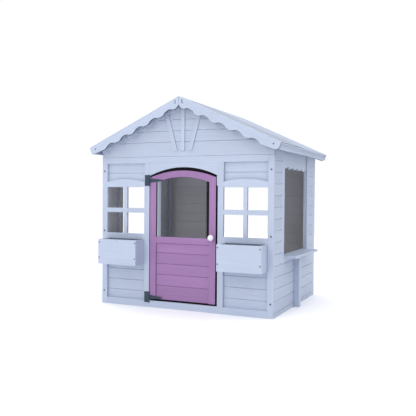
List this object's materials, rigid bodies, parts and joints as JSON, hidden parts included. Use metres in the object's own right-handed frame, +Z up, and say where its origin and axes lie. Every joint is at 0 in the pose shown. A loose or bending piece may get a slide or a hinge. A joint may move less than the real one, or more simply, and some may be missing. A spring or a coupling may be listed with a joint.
{
  "type": "playhouse",
  "caption": "Painted wooden playhouse with a pitched roof, scalloped bargeboards, a hinged door, front windows over flower boxes and a serving shelf on one side.",
  "frame": {"origin": "on the ground in the middle of the doorway, half way through the thickness of the front wall's frame", "axes": "+X to the right of a person facing the front, +Y from the front wall to the back wall, +Z up"},
  "size_m": [1.34, 1.1832, 1.3369],
  "materials": {
    "white_painted_wood": "satin white paint with a cool tint on softwood",
    "mauve_painted_wood": "satin mauve paint on softwood",
    "black_painted_wood": "matt black paint on softwood",
    "knob_painted_wood": "gloss white paint on turned wood",
    "dark_hinge_steel": "dark slate powder coat",
    "grey_screw_steel": "dull zinc plate"
  },
  "bodies": {
    "house": {"back_bottom_rail": "white_painted_wood", "back_corner_stiles": "white_painted_wood", "back_opening_rails": "white_painted_wood", "back_siding": "white_painted_wood", "back_top_rail": "white_painted_wood", "back_window_stiles": "white_painted_wood", "bargeboard_screws": "grey_screw_steel", "bargeboards_front": "white_painted_wood", "bargeboards_rear": "white_painted_wood", "corner_bolts": "grey_screw_steel", "door_catch": "white_painted_wood", "door_side_stiles": "white_painted_wood", "door_stops": "black_painted_wood", "doorway_head_board": "white_painted_wood", "eave_strips": "white_painted_wood", "fan_slats": "white_painted_wood", "flower_box_ends": "white_painted_wood", "flower_box_floors": "white_painted_wood", "flower_box_fronts": "white_painted_wood", "flower_box_screws": "grey_screw_steel", "front_bottom_rail": "white_painted_wood", "front_corner_stiles": "white_painted_wood", "front_lower_siding": "white_painted_wood", "front_top_rail": "white_painted_wood", "front_upper_siding": "white_painted_wood", "gable_boards_front": "white_painted_wood", "gable_boards_rear": "white_painted_wood", "gable_frame_front": "white_painted_wood", "gable_frame_rear": "white_painted_wood", "hinge_leaf_screws": "dark_hinge_steel", "hinge_leaves": "dark_hinge_steel", "hinge_pins": "dark_hinge_steel", "left_sill_board": "white_painted_wood", "rake_trims": "white_painted_wood", "ridge_beam": "white_painted_wood", "roof_battens": "white_painted_wood", "roof_boards_left": "white_painted_wood", "roof_boards_right": "white_painted_wood", "serving_shelf": "white_painted_wood", "shelf_leg": "white_painted_wood", "side_casings": "white_painted_wood", "side_posts": "white_painted_wood", "side_rails": "white_painted_wood", "side_siding_left": "white_painted_wood", "side_siding_right": "white_painted_wood", "side_valances": "white_painted_wood", "siding_nails": "grey_screw_steel", "window_head_boards": "white_painted_wood", "window_mullions": "white_painted_wood", "window_sill_rails": "white_painted_wood", "window_transoms": "white_painted_wood"},
    "door": {"door_stiles": "mauve_painted_wood", "door_middle_rail": "mauve_painted_wood", "door_arch_rail": "mauve_painted_wood", "door_boards": "mauve_painted_wood", "door_knob": "knob_painted_wood", "knob_screw": "grey_screw_steel", "hinge_straps": "dark_hinge_steel", "hinge_strap_screws": "dark_hinge_steel"}
  },
  "joints": [
    {"name": "door_swing", "type": "hinge", "parent": "house", "child": "door", "pos_m": [-0.237, -0.0135, 0.4425], "axis": [0, 0, -1], "range_deg": [0, 105]}
  ]
}
